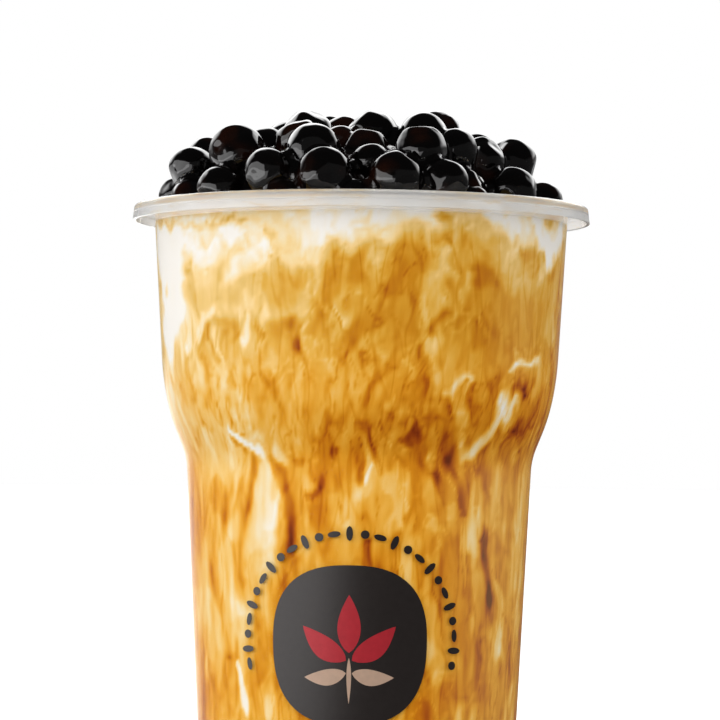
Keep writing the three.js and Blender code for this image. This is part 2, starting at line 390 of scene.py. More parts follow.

# Narrow strokes of milk and syrup, and two painted highlights near the waist
STROKES = [
    # white strokes, two of them painted highlights
    ([(-28.6, 83.2), (-27.2, 79.8), (-24, 76.9)], 0.9, -0.5, 0.6),
    ([(-22.4, 77.2), (-22, 75.6)], 1, -0.36),
    ([(-26, 79.9), (-20.5, 80.1)], 0.7, -0.12),
    # painted highlight near the waist on the right
    ([(32, 86.6), (29, 82.3), (26.2, 78.9)], 1.5, -0.46, 0.7),
    ([(32.3, 95.2), (35.2, 96.3), (38, 94.9)], 1, -0.42, 0.7),
    ([(20.6, 89.4), (20.7, 91.8), (22.4, 93.2), (24.1, 92), (24, 89.6)], 0.7, -0.28),
    ([(-21.8, 102.4), (-21.8, 100.2)], 0.9, -0.2),
    ([(22, 114), (20.4, 110.5), (18.2, 105.4)], 1, -0.16, 0.8),
    # painted highlight near the waist on the left
    ([(-16.6, 78), (-16.6, 75.2)], 1.3, -0.2),
    ([(1.5, 71.3), (2.9, 72.8)], 0.6, -0.4),
    # syrup in the upper half
    ([(-48, 112.3), (-47.9, 111.3)], 1.3, 0.3),
    ([(-43.5, 121.6), (-40.4, 118.6), (-35.8, 111.4), (-34.4, 105.4)], 1.5, 0.12, 0.8),
    ([(-48, 125.4), (-26, 125.2)], 0.7, 0.2, 0.8),
    ([(-26, 124.4), (-21.6, 123.4)], 1.3, 0.24, 0.8),
    ([(-18.3, 122.9), (-18.2, 121.6)], 0.9, 0.2),
    ([(13.7, 126.2), (13.8, 124.8)], 1.5, 0.36),
    ([(15.1, 124.6), (15.3, 119.6)], 1.4, 0.24),
    ([(24.6, 114.6), (25.4, 113)], 1.6, 0.16),
    ([(1.7, 118.4), (-0.6, 113.4)], 1, 0.16, 0.8),
    ([(12.1, 99.8), (14.3, 95), (17, 90)], 1.3, 0.2, 0.8),
    ([(14, 105.2), (16.4, 106.6), (18.6, 104), (16.5, 98)], 0.9, 0.14, 0.8),
    ([(-33.6, 95.8), (-33.1, 100), (-31.4, 101.8), (-29.7, 100.3), (-28.5, 97.2)], 0.7, 0.2, 0.8),
    ([(-11.3, 100), (-11.2, 97.8)], 1.2, 0.26, 0.8),
    ([(-30, 102.4), (-22, 102), (-14, 101)], 1, 0.08, 0.9),
    ([(22.8, 103.8), (24.4, 101)], 1.3, 0.14),
    ([(20, 88.9), (20.4, 88.1)], 0.9, 0.34),
    ([(34, 89.5), (35.5, 88)], 1.2, 0.2, 0.8),
    # syrup at the waist and below
    ([(-29.4, 81.6), (-27.4, 77)], 0.8, 0.2, 0.8),
    ([(-25, 74.4), (-25.6, 69), (-27.9, 64), (-28.4, 55)], 1.1, 0.18, 0.8),
    ([(-19, 74.7), (-15.5, 69), (-15, 62)], 1.2, 0.2, 0.8),
    ([(-13.9, 77.2), (-11.7, 78.1)], 0.8, 0.18),
    ([(-4.3, 78.6), (-4.2, 77.8)], 0.8, 0.3),
    ([(-7.9, 74.2), (-10.6, 71)], 0.9, 0.24),
    ([(0.6, 75.6), (0.1, 71.4)], 0.8, 0.24),
    ([(3.6, 80), (4.4, 74.4)], 0.8, 0.22),
    ([(13, 86), (12.6, 82), (14.5, 76.5), (17.7, 72)], 1, 0.2, 0.7),
    ([(18.8, 83), (21.4, 80.2)], 2, 0.14, 0.9),
    ([(21.8, 79), (23.4, 71), (25.2, 65)], 1.2, 0.2, 0.8),
    ([(18, 74.8), (18, 73.8)], 1, 0.26),
    ([(36.4, 81.4), (35.4, 77), (32.3, 74)], 1.3, 0.14, 0.9),
    ([(30, 74), (33, 71)], 1.6, 0.08, 0.9),
    ([(33, 64.6), (33.6, 57), (34, 48.6)], 1.2, 0.3, 0.7),
    ([(2.7, 61), (2.6, 56)], 0.8, 0.2),
    ([(7.8, 60), (7.9, 56)], 1, 0.2),
]

# Places where milk and syrup have mixed smoothly
CALM = [
    ([(-40, 111), (-17, 110.5)], 5, 0, 0.5),
    ([(28, 113), (40, 107)], 7, 0, 0.5),
    ([(20, 98), (27, 99)], 4, 0, 0.6),
]


class Lattice:
    """Smooth seeded noise on the unrolled wall, which meets itself at the back."""

    def __init__(self, rng, wide, tall):
        self.columns = round(FULL_TURN / wide)
        self.wide = FULL_TURN / self.columns
        self.tall = tall
        self.below = tall * math.ceil(DEEPEST_PATTERN / tall)
        self.rows = math.ceil((TALLEST_PATTERN + self.below) / tall) + 2
        self.values = rng.standard_normal((self.rows, self.columns))

    def at(self, along, height):
        across = along / self.wide
        up = (height + self.below) / self.tall
        column = np.floor(across).astype(int)
        row = np.clip(np.floor(up).astype(int), 0, self.rows - 2)
        right = smooth_step(0, 1, across - column)
        above = smooth_step(0, 1, up - row)
        here = column % self.columns
        beside = (column + 1) % self.columns
        low = self.values[row, here] * (1 - right) + self.values[row, beside] * right
        high = self.values[row + 1, here] * (1 - right) + self.values[row + 1, beside] * right
        return low * (1 - above) + high * above


class Layers:
    """Noise in layers, each half as wide and weaker than the one before."""

    def __init__(self, rng, wide, tall, count, gain=0.5):
        self.lattices = [Lattice(rng, wide / 2 ** i, tall / 2 ** i) for i in range(count)]
        self.strengths = [gain ** i for i in range(count)]
        self.power = math.sqrt(sum(s * s for s in self.strengths)) * 0.6

    def at(self, along, height):
        layers = zip(self.strengths, self.lattices)
        return sum(s * lattice.at(along, height) for s, lattice in layers) / self.power


def smooth_step(low, high, value):
    share = np.clip((value - low) / (high - low), 0, 1)
    return share * share * (3 - 2 * share)


def combed(values_at, along, height, lean, reach, step=0.6):
    """Values drawn out along the flow, which leans by that angle at each point."""
    total = values_at(along, height)
    weight = 1.0
    count = int(reach / step)
    for way in (step, -step):
        a, h = along, height
        for i in range(1, count + 1):
            angle = lean(a, h)
            a = a + way * np.sin(angle)
            h = h + way * np.cos(angle)
            share = 0.5 + 0.5 * math.cos(math.pi * i / (count + 1))
            total = total + share * values_at(a, h)
            weight += share
    return total / weight


def streaks(rng, along, height, lean, wide, reach):
    """Noise drawn out into streaks, brought to one even strength."""
    drawn = combed(Lattice(rng, wide, wide).at, along, height, lean, reach)
    return (drawn - drawn.mean()) / drawn.std()


def summed(rows, along, height):
    """The syrup that the runs add, at the front and, mirrored, at the back."""
    total = np.zeros(along.shape)
    for row in rows:
        run = Run(*row)
        total += run.syrup * run.share(along, height)
        total += run.syrup * run.share(FULL_TURN / 2 - along, height)
    return total


def folds(noise, along, height, thin):
    """Thin lines where the noise passes through zero, like the folds of two mixing liquids."""
    value = noise.at(along, height)
    return np.exp(-((value / thin) ** 2))


def fanned(along, height):
    """How far the flow leans over where it fans out, in radians."""
    across = (along - FAN_MIDDLE[0]) / FAN_WIDTHS[0]
    up = (height - FAN_MIDDLE[1]) / FAN_WIDTHS[1]
    return FAN_ANGLE * np.exp(-(across ** 2) - up ** 2)


def syrup_and_painted_light_share(along, height):
    """The share of syrup at points of the unrolled wall, with some painted shade
    and two painted highlights in it.
    """
    rng = np.random.default_rng(11)
    wander = Lattice(rng, 16, 22)

    def lean(a, h):
        steadied = 1 - 0.7 * smooth_step(*LOW_BODY, h)
        return fanned(a, h) + WANDER_ANGLE * wander.at(a, h) * steadied

    # The flow moves everything about a little, more in the upper half
    drift_a, drift_h = Layers(rng, 11, 15, 3), Layers(rng, 11, 13, 3)
    ripple_a, ripple_h = Layers(rng, 3.2, 4.5, 2), Layers(rng, 3.2, 4.0, 2)
    low_body = smooth_step(*LOW_BODY, height)
    loose = 1 - 0.6 * low_body
    drift_a, drift_h = drift_a.at(along, height), drift_h.at(along, height)
    ripple_a, ripple_h = ripple_a.at(along, height), ripple_h.at(along, height)
    a = along + loose * (0.9 * drift_a + 0.55 * ripple_a)
    h = height + drift_h + 0.5 * ripple_h
    swirl_a = along + loose * (2.6 * drift_a + 1.1 * ripple_a)
    swirl_h = height + 2.4 * drift_h + 0.9 * ripple_h

    thin = streaks(rng, along, height, lean, 1.3, 5)
    broad = streaks(rng, a, h, lean, 2.6, 8)
    tall = streaks(rng, a, h, lean, 2.4, 20)
    clouds = Layers(rng, 20, 18, 2).at(along, height)
    blots = Layers(rng, 5.5, 8, 3, 0.6).at(swirl_a, swirl_h)
    patches = smooth_step(-0.4, 0.8, Layers(rng, 9, 12, 2).at(along, height))
    fold_lines = folds(Layers(rng, 5.0, 11, 2), swirl_a, swirl_h, 0.16)
    milk_lines = folds(Layers(rng, 6.0, 12, 2), swirl_a, swirl_h, 0.18)
    stretched = folds(Layers(rng, 2.6, 18, 2), a, h, 0.22)
    fan_a = a - fanned(along, height) * (h - FAN_FOOT)
    fine_lines = folds(Layers(rng, 3.0, 15, 2), fan_a, h, 0.2)

    # Where each of them shows. Side runs from -1 at the left edge to 1 at the right
    side = np.sin(along / WALL_ARC_RADIUS)
    waist = smooth_step(*WAIST_TOP, height) * smooth_step(*WAIST_FOOT, height)
    upper = 1 - low_body
    calm = np.zeros(along.shape)
    for row in CALM:
        calm = np.maximum(calm, Run(*row).share(a, h))
    lively = 1 - 0.8 * calm
    lines = smooth_step(*LINES_FOOT, height) * smooth_step(*LINES_TOP, height)

    # Away from the left edge the drink gets more syrup: partly richer syrup, partly painted shade
    # where less light falls than on the left
    syrup_and_painted_shade = smooth_step(-0.72, -0.25, side)
    dark_waist = np.exp(-(((height - DARK_WAIST) / DARK_WAIST_WIDTH) ** 2))
    field = 0.34 + syrup_and_painted_shade * (0.2 + 0.06 * dark_waist) + 0.015 * clouds
    # A little more syrup on the right half: partly syrup, partly painted shade
    field += 0.02 * smooth_step(-0.15, 0.25, side)
    amber_side = smooth_step(-0.6, -0.85, side) * low_body
    field += 0.10 * amber_side
    texture = 0.034 * thin + 0.030 * broad
    texture += 0.045 * low_body * tall + 0.026 * blots
    texture += 0.13 * patches * fold_lines * (upper + 0.3 * low_body)
    texture -= 0.10 * (1 - patches) * milk_lines * smooth_step(-0.8, -0.3, side)
    texture += 0.14 * stretched * patches * (0.35 * upper + low_body)
    texture += 0.12 * lines * (fine_lines - 0.25)
    field += lively * texture
    clots = Layers(rng, 4.2, 6, 2).at(a, h)
    field += lively * smooth_step(1.1, 2.4, clots + 0.2 * side) * (0.03 + 0.08 * waist)
    field -= lively * smooth_step(1.0, 2.2, -clots) * 0.1 * (1 - 0.7 * amber_side)

    # Milk floats at the top, with smudges of syrup in it
    edge = height - 2.5 * side + 2.4 * Layers(rng, 8, 30, 3).at(along, height)
    smudges = Layers(rng, 4.5, 3.5, 3, 0.7).at(a, h)
    smears = Layers(rng, 8, 15, 2).at(swirl_a, h)
    field += low_body * (0.045 * smears + 0.03)
    milk = smooth_step(*MILK, edge)
    # The milk is a little darker away from the left edge: partly its tone, partly painted shade
    milk_tone = 0.23 + 0.04 * smooth_step(-0.7, -0.3, side)
    field += milk * (milk_tone + 0.07 * smudges + 0.04 * blots - field)
    # Darker at the upper right: partly more syrup, partly painted shade
    field += 0.06 * smooth_step(0.6, 0.9, side) * smooth_step(104, 114, height)
    field += summed(FIELDS, swirl_a * 0.6 + along * 0.4, swirl_h * 0.6 + height * 0.4)
    field += combed(lambda x, y: summed(STROKES, x, y), a, h, lean, 0.9)
    return np.clip(field, 0, 1)


# Materials

def srgb(red, green, blue):
    """A colour given as it looks on a screen, 0 to 255, as the linear values that nodes take."""
    def linear(value):
        value /= 255
        return value / 12.92 if value <= 0.04045 else ((value + 0.055) / 1.055) ** 2.4

    return (linear(red), linear(green), linear(blue), 1)


WHITE = (1, 1, 1, 1)

# The drink's colour at each share of syrup, as it looks on a screen
SYRUP_COLOURS = [
    (0.00, (248, 246, 240)),
    (0.10, (247, 236, 210)),
    (0.20, (246, 222, 168)),
    (0.32, (244, 203, 120)),
    (0.43, (239, 182, 76)),
    (0.53, (229, 161, 44)),
    (0.63, (214, 138, 24)),
    (0.73, (195, 112, 16)),
    (0.83, (170, 82, 16)),
    (0.92, (138, 56, 15)),
    (1.00, (104, 38, 12)),
]


class Graph:
    """Shader nodes written as calls: each call adds a node and returns its output socket."""

    def __init__(self, owner):
        owner.use_nodes = True
        self.tree = owner.node_tree
        self.tree.nodes.clear()

    def node(self, kind, inputs=None, output=0, **settings):
        made = self.tree.nodes.new(kind)
        for name, value in settings.items():
            setattr(made, name, value)
        for key, value in (inputs or {}).items():
            if isinstance(value, bpy.types.NodeSocket):
                self.tree.links.new(value, made.inputs[key])
            else:
                made.inputs[key].default_value = value
        return made.outputs[output]

    def math(self, operation, *values):
        return self.node("ShaderNodeMath", dict(enumerate(values)), operation=operation)

    def add(self, *values):
        total = values[0]
        for value in values[1:]:
            total = self.math("ADD", total, value)
        return total

    def times(self, first, second):
        return self.math("MULTIPLY", first, second)

    def place(self):
        """The point on the object, in millimetres."""
        point = self.node("ShaderNodeTexCoord", output="Object")
        return self.scaled(point, 1 / MM, 1 / MM, 1 / MM)

    def scaled(self, vector, x, y, z):
        inputs = {0: vector, 1: (x, y, z)}
        return self.node("ShaderNodeVectorMath", inputs, operation="MULTIPLY")

    def parts(self, vector):
        """The X, Y and Z of a vector."""
        split = self.tree.nodes.new("ShaderNodeSeparateXYZ")
        self.tree.links.new(vector, split.inputs[0])
        return split.outputs[0], split.outputs[1], split.outputs[2]

    def lerp(self, share, first, second):
        """One value turning into another."""
        inputs = {0: share, 2: first, 3: second}
        return self.node("ShaderNodeMix", inputs, data_type="FLOAT")

    def noise(self, vector, scale=1.0, **inputs):
        """Smooth noise, with the node's other inputs by name."""
        named = {key.capitalize(): value for key, value in inputs.items()}
        return self.node("ShaderNodeTexNoise", {"Vector": vector, "Scale": scale, **named})

    def step(self, value, low, high):
        """0 below low, 1 above high and a smooth rise between them."""
        inputs = {0: value, 1: low, 2: high, 3: 0.0, 4: 1.0}
        return self.node("ShaderNodeMapRange", inputs, interpolation_type="SMOOTHSTEP")

    def ramp(self, value, stops):
        """A colour ramp from (position, colour) stops."""
        colours = self.tree.nodes.new("ShaderNodeValToRGB")
        elements = colours.color_ramp.elements
        while len(elements) < len(stops):
            elements.new(0.5)
        for element, (position, colour) in zip(elements, stops):
            element.position = position
            element.color = colour
        self.tree.links.new(value, colours.inputs[0])
        return colours.outputs[0]

    def blend(self, share, first, second, kind="MIX"):
        """One colour turning into another."""
        inputs = {0: share, 6: first, 7: second}
        return self.node("ShaderNodeMix", inputs, 2, data_type="RGBA", blend_type=kind)

    def surface(self, **inputs):
        """The main surface shader with its inputs by name, underscores for spaces."""
        named = {key.replace("_", " "): value for key, value in inputs.items()}
        return self.node("ShaderNodeBsdfPrincipled", named)

    def bump(self, height, distance, strength=1.0):
        inputs = {"Height": height, "Distance": distance, "Strength": strength}
        return self.node("ShaderNodeBump", inputs)

    def output(self, shader, kind="ShaderNodeOutputMaterial"):
        end = self.tree.nodes.new(kind)
        self.tree.links.new(shader, end.inputs["Surface"])


def new_material(name):
    material = bpy.data.materials.new(name)
    return material, Graph(material)


def clear_plastic():
    """Thin glossy polypropylene: clear on the wall and milky in the thick rim, with a line round
    the rim and faint smudges on it. It casts no shadow on what it holds."""
    material, g = new_material("clear_plastic")
    place = g.place()
    z = g.parts(place)[2]
    skirt_bottom = CUP_HEIGHT - SKIRT_DEPTH
    rim = g.step(z, skirt_bottom - 0.6, skirt_bottom)
    ripple = g.noise(g.scaled(place, 0.35, 0.35, 0.03), detail=1.0)
    wall = g.surface(
        Base_Color=(0.97, 0.975, 0.97, 1),
        Roughness=0.2,
        IOR=1.08,
        Transmission_Weight=1.0,
        Normal=g.bump(ripple, 0.03 * MM, 0.35),
    )
    smudge = g.noise(g.scaled(place, 0.12, 0.12, 0.5), detail=4.0, roughness=0.65)
    tint = g.blend(g.step(smudge, 0.52, 0.68), (0.97, 0.97, 0.965, 1), (0.95, 0.87, 0.74, 1))
    ridge = g.step(z, CUP_HEIGHT - 1.9, CUP_HEIGHT - 1.7)
    relief = g.add(g.times(ridge, 0.07), g.times(ripple, 0.02))
    thick = g.surface(
        Base_Color=tint,
        Roughness=0.18,
        IOR=1.4,
        Transmission_Weight=0.64,
        Normal=g.bump(relief, MM),
    )
    body = g.node("ShaderNodeMixShader", {0: rim, 1: wall, 2: thick})
    shadow_free = g.node("ShaderNodeBsdfTransparent", {"Color": (0.97, 0.97, 0.97, 1)})
    is_shadow = g.node("ShaderNodeLightPath", output="Is Shadow Ray")
    mixed = g.node("ShaderNodeMixShader", {0: is_shadow, 1: body, 2: shadow_free})
    g.output(mixed)
    return material


def milk_syrup_and_painted_light():
    """Milk with brown sugar syrup in it, with painted light and shade multiplied into its colour.
    The share of syrup at each point, from 0, plain milk, to 1, dark syrup, comes with the mesh,
    with some painted shade and two painted highlights in it, and fine streaks are added to it
    here."""
    material, g = new_material("milk_syrup_and_painted_light")
    share = g.node("ShaderNodeAttribute", output="Fac", attribute_name=SYRUP_AND_PAINTED_LIGHT)
    place = g.place()
    fine = g.noise(g.scaled(place, 0.8, 0.8, 0.13), detail=3.0, roughness=0.6)
    folds_at = g.noise(g.scaled(place, 0.26, 0.26, 0.06), detail=1.0, distortion=0.3)
    wisp = g.step(g.math("ABSOLUTE", g.add(folds_at, -0.5)), 0.07, 0.0)
    wisp = g.times(wisp, g.step(share, 0.22, 0.42))
    share = g.add(share, g.times(g.add(fine, -0.5), 0.1), g.times(wisp, 0.07))
    colour = g.ramp(share, [(at, srgb(*shown)) for at, shown in SYRUP_COLOURS])

    # Painted light: the upper half is a little less red, painted shade where less light comes
    # through, the lower left is warmer, painted backlight, and the lower right is a little hazy
    x, _, z = g.parts(place)
    low_body = g.step(z, 84, 70)
    cool_painted_shade = g.times(g.step(z, 90, 104), g.step(share, 0.24, 0.4))
    # light is not a lamp: it is painted light and shade that the colour is multiplied by
    light = g.blend(cool_painted_shade, (1, 0.97, 0.96, 1), (0.89, 0.94, 1.12, 1))
    painted_backlight = g.times(g.step(x, -14, -34), low_body)
    light = g.blend(painted_backlight, light, (1, 0.93, 0.8, 1))
    colour = g.blend(1.0, colour, light, "MULTIPLY")
    haze = g.times(g.times(g.step(x, 10, 30), low_body), 0.1)
    colour = g.blend(haze, colour, (0.68, 0.68, 0.36, 1))
    g.output(g.surface(Base_Color=colour, Roughness=0.4, IOR=1.33, Specular_IOR_Level=0.05))
    return material


def wet_tapioca():
    """Near-black wet jelly that lets a little red-brown through."""
    material, g = new_material("wet_tapioca")
    place = g.place()
    tone = g.noise(place, scale=0.11, detail=2.0)
    colour = g.blend(
        g.step(tone, 0.5, 0.7), (0.0022, 0.0018, 0.0018, 1), (0.014, 0.004, 0.002, 1)
    )
    skin = g.noise(place, scale=0.17, detail=1.5)
    bump = g.bump(skin, 2 * MM, 0.6)
    g.output(g.surface(Base_Color=colour, Roughness=0.06, IOR=1.5, Normal=bump))
    return material


def ink(name, colour):
    """Printed ink with slightly uneven cover."""
    material, g = new_material(name)
    cover = g.noise(g.place(), scale=0.8, detail=3.0)
    paler = tuple(1.25 * c + 0.004 for c in colour[:3]) + (1,)
    mixed = g.blend(cover, colour, paler)
    g.output(g.surface(Base_Color=mixed, Roughness=INK_ROUGHNESS, IOR=1.45))
    return material


# The heap of pearls

class Dice:
    """The seeded random numbers that the solids use, the same on every run."""

    def __init__(self, seed):
        self.seed = seed

    def draw(self):
        self.seed = (self.seed * 16807) % 2147483647
        return self.seed / 2147483647

    def spread(self, amount):
        return (2 * self.draw() - 1) * amount


class Pearl:
    """One pearl, with a seeded flatness and turn. A held pearl keeps its place."""

    def __init__(self, x, y, height, radius, dice, held=False):
        self.centre = np.array((x, y, CUP_HEIGHT + height), float)
        self.radius = radius
        self.flatness = 1 - (1 - FLATTEST) * dice.draw()
        self.turn = (dice.draw() * math.pi, dice.draw() * math.pi)
        self.held = held


def in_rows(rows, start, dice):
    """Pearls in rings round the axis, with small differences, from that Y to the back."""
    pearls = []
    for count, row_distance, row_height, row_bearing in rows:
        for i in range(count):
            bearing = row_bearing + (i + dice.spread(ROW_SPREAD[0])) * 360 / count
            distance = row_distance + dice.spread(ROW_SPREAD[1])
            height = row_height + dice.spread(ROW_SPREAD[2])
            radius = PEARL_RADIUS + dice.spread(PEARL_SIZE_SPREAD)
            angle = math.radians(bearing)
            x, y = distance * math.sin(angle), -distance * math.cos(angle)
            placed = Pearl(x, y, height, radius, dice)
            if y > start:
                pearls.append(placed)
    return pearls


def keep_in_heap(pearl, widest, lowest, highest):
    reach = math.hypot(pearl.centre[0], pearl.centre[1])
    pearl.centre[:2] *= min(reach, widest - pearl.radius) / reach
    pearl.centre[2] = min(max(pearl.centre[2], lowest), highest)


def settle(pearls):
    """Pushes apart pearls that overlap too far, as in the solids."""
    for _ in range(SETTLING_PASSES):
        for i, a in enumerate(pearls):
            for b in pearls[i + 1:]:
                apart = b.centre - a.centre
                length = math.sqrt(apart @ apart)
                short = CLOSENESS * (a.radius + b.radius) - length
                if short <= 0 or (a.held and b.held):
                    continue
                share = 1 if a.held or b.held else 0.5
                apart *= share * short / length
                if not a.held:
                    a.centre -= apart
                if not b.held:
                    b.centre += apart
        for pearl in pearls:
            if pearl.held:
                continue
            lowest = DRINK_LEVEL + 0.4 * pearl.radius
            highest = CUP_HEIGHT + HEAP_TOP - pearl.radius
            keep_in_heap(pearl, HEAP_REACH, lowest, highest)
    return pearls


def tuck_under(low, shown):
    """Lets the low pearls sink until they clear the shown ones."""
    for _ in range(LOW_PASSES):
        for a in low:
            for b in shown:
                apart = a.centre - b.centre
                length = math.sqrt(apart @ apart)
                short = LOW_CLOSENESS * (a.radius + b.radius) - length
                if short > 0:
                    a.centre += apart * short / length
            lowest = DRINK_LEVEL - 0.35 * a.radius
            keep_in_heap(a, LOW_REACH, lowest, CUP_HEIGHT + HEAP_TOP - a.radius)
    return low


def ball(subdivisions):
    """A unit ball of even triangles: its points and faces."""
    bm = bmesh.new()
    bmesh.ops.create_icosphere(bm, subdivisions=subdivisions, radius=1)
    points = np.array([v.co for v in bm.verts])
    faces = [tuple(v.index for v in f.verts) for f in bm.faces]
    bm.free()
    return points, faces


def random_directions(rng, count):
    vectors = rng.normal(size=(count, 3))
    return vectors / np.linalg.norm(vectors, axis=1)[:, None]


def dented(points, rng):
    """Radii of a cooked pearl in the ball's directions: flattened sides with soft edges,
    a few dimples and a slow waver."""
    sides = random_directions(rng, FLAT_SIDES)
    heights = rng.uniform(*FLAT_SIDE_HEIGHTS, size=FLAT_SIDES)
    along = np.maximum(points @ sides.T, 0.05)
    planes = np.exp(-heights / along / EDGE_SOFTNESS)
    radii = -EDGE_SOFTNESS * np.log(np.exp(-1 / EDGE_SOFTNESS) + planes.sum(axis=1))
    for direction in random_directions(rng, DIMPLES):
        turn = np.arccos(np.clip(points @ direction, -1, 1))
        width = rng.uniform(*DIMPLE_WIDTHS)
        radii -= rng.uniform(*DIMPLE_DEPTHS) * np.exp(-((turn / width) ** 2))
    for direction in random_directions(rng, WAVERS):
        waves = rng.uniform(3, 6) * (points @ direction) + rng.uniform(0, 6)
        radii += WAVER_HEIGHT * np.sin(waves)
    return radii / radii.mean()


def rotation(turn):
    about_x = Matrix.Rotation(turn[0], 3, "X")
    about_z = Matrix.Rotation(turn[1], 3, "Z")
    return np.array(about_z @ about_x)


def pearl_points(pearl, shape, rng):
    """The skin of one pearl, pressed flat where it would meet the cup's wall."""
    body = shape * dented(shape, rng)[:, None] * pearl.radius
    body[:, 2] *= pearl.flatness
    points = body @ rotation(pearl.turn).T + pearl.centre
    reach = np.hypot(points[:, 0], points[:, 1])
    room = (upper_wall(points[:, 2]) - WALL - GAP_TO_WALL) / reach
    in_cup = points[:, 2] < CUP_HEIGHT
    points[in_cup, :2] *= np.minimum(room[in_cup], 1)[:, None]
    return points


def joined(pearls, subdivisions, seed, grown=0.0):
    """All the pearls, grown by that much, as one list of points and faces."""
    shape, faces = ball(subdivisions)
    rng = np.random.default_rng(seed)
    vertices, all_faces = [], []
    for pearl in pearls:
        start = len(vertices)
        points = pearl_points(pearl, shape, rng)
        points += grown / pearl.radius * (points - pearl.centre)
        vertices += [tuple(p) for p in points]
        all_faces += [tuple(start + i for i in face) for face in faces]
    return vertices, all_faces


# The print

def on_wall(across, up, lift):
    """A point of the print, moved from the flat design onto the lower wall."""
    height = BADGE_HEIGHT + up
    radius = lower_wall(height) + lift
    angle = (across + BADGE_ACROSS) / lower_wall(BADGE_HEIGHT)
    return (radius * math.sin(angle), -radius * math.cos(angle), height)


def printed(name, shapes, material, lift):
    """Flat shapes of (points, faces) as thin closed ink on the wall."""
    low, high = lift
    vertices, faces = [], []
    for points, cells in shapes:
        top = len(vertices)
        under = top + len(points)
        vertices += [on_wall(u, v, high) for u, v in points]
        vertices += [on_wall(u, v, low) for u, v in points]
        faces += [tuple(top + i for i in cell) for cell in cells]
        faces += [tuple(under + i for i in reversed(cell)) for cell in cells]
        edges = [pair for cell in cells for pair in zip(cell, cell[1:] + cell[:1])]
        known = set(edges)
        rim = [(a, b) for a, b in edges if (b, a) not in known]
        faces += [(top + b, top + a, under + a, under + b) for a, b in rim]
    return object_from(name, vertices, faces, material)


def round_shape(centre, radius_at, rings, spokes):
    """A filled outline given by its radius at each angle."""
    points = [centre]
    for ring in range(1, rings + 1):
        for i in range(spokes):
            a = 2 * math.pi * i / spokes
            r = radius_at(a) * ring / rings
            points.append((centre[0] + r * math.cos(a), centre[1] + r * math.sin(a)))
    cells = [(0, 1 + i, 1 + (i + 1) % spokes) for i in range(spokes)]
    for ring in range(rings - 1):
        low = 1 + ring * spokes
        for i in range(spokes):
            j = (i + 1) % spokes
            cells.append((low + i, low + spokes + i, low + spokes + j, low + j))
    return points, cells


def leaf_shape(base, direction, length, width, curve=0.0):
    """A leaf with a pointed tip, as strips across its length."""
    steps, columns = 16, 4
    angle = math.radians(direction)
    way = (math.cos(angle), math.sin(angle))
    points = []
    for i in range(steps + 1):
        t = i / steps
        out = length * t
        half = width / 2 * math.sin(math.pi * t ** 0.8) ** 0.9 + 0.02
        middle = curve * math.sin(math.pi * t)
        for j in range(columns + 1):
            side = middle + half * (1 - 2 * j / columns)
            x = base[0] + way[0] * out - way[1] * side
            y = base[1] + way[1] * out + way[0] * side
            points.append((x, y))
    cells = []
    row = columns + 1
    for i in range(steps):
        for j in range(columns):
            a = i * row + j
            cells.append((a, a + 1, a + row + 1, a + row))
    return points, cells


def badge():
    """A plain generic design: a dark field with soft corners, a sprig of leaves in it, and an arc
    of dots and dashes over it."""
    dark = ink("dark_ink", srgb(40, 33, 31))
    red = ink("red_ink", srgb(190, 32, 46))
    tan = ink("tan_ink", srgb(206, 172, 148))

    def soft_square(a):
        power = BADGE_SQUARENESS
        spread = abs(math.cos(a)) ** power + abs(math.sin(a)) ** power
        return BADGE_RADIUS / spread ** (1 / power)

    printed("badge_field", [round_shape((0, 0), soft_square, 14, 96)], dark, INK_UNDER)

    leaves = [
        leaf_shape((0, -1.5), 90, 11.5, 4.6),
        leaf_shape((-0.6, -3.0), 142, 11.0, 4.4, 0.7),
        leaf_shape((0.6, -3.0), 38, 11.0, 4.4, -0.7),
    ]
    printed("badge_leaves", leaves, red, INK_OVER)

    low_leaves = [
        leaf_shape((-0.6, -5.5), 186, 8.5, 3.2, 0.5),
        leaf_shape((0.6, -5.5), -6, 8.5, 3.2, -0.5),
        leaf_shape((0, -2.5), -90, 9.0, 0.9),
    ]
    printed("badge_stem", low_leaves, tan, INK_OVER)

    dashes = []
    for i in range(-RING_MARKS, RING_MARKS + 1):
        turn = i * RING_STEP / RING_RADIUS
        centre = (RING_RADIUS * math.sin(turn), RING_RADIUS * math.cos(turn))
        wide, tall = MARKS[i % len(MARKS)]

        def outline(a, turn=turn, wide=wide, tall=tall):
            local = a + turn
            return 1 / math.hypot(math.cos(local) / wide, math.sin(local) / tall)

        dashes.append(round_shape(centre, outline, 2, 20))
    printed("badge_ring", dashes, dark, INK_UNDER)


def build_cup():
    vertices, faces = turned(cup_profile())
    cup = object_from("cup_shell", vertices, faces, clear_plastic())
    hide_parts("cup")


def even_steps(profile, spacing):
    """The same outline with its long stretches cut into even short steps."""
    points = [profile[0]]
    for start, end in zip(profile[:-1], profile[1:]):
        count = math.ceil(math.dist(start, end) / spacing)
        shares = np.arange(1, count + 1) / count
        points += [tuple(np.array(start) * (1 - t) + np.array(end) * t) for t in shares]
    return points


def thinned(profile, spacing):
    """The same outline without points that crowd nearer together than that."""
    kept = [profile[0]]
    for point in profile[1:-1]:
        if math.dist(point, kept[-1]) > 0.9 * spacing:
            kept.append(point)
    return kept + [profile[-1]]


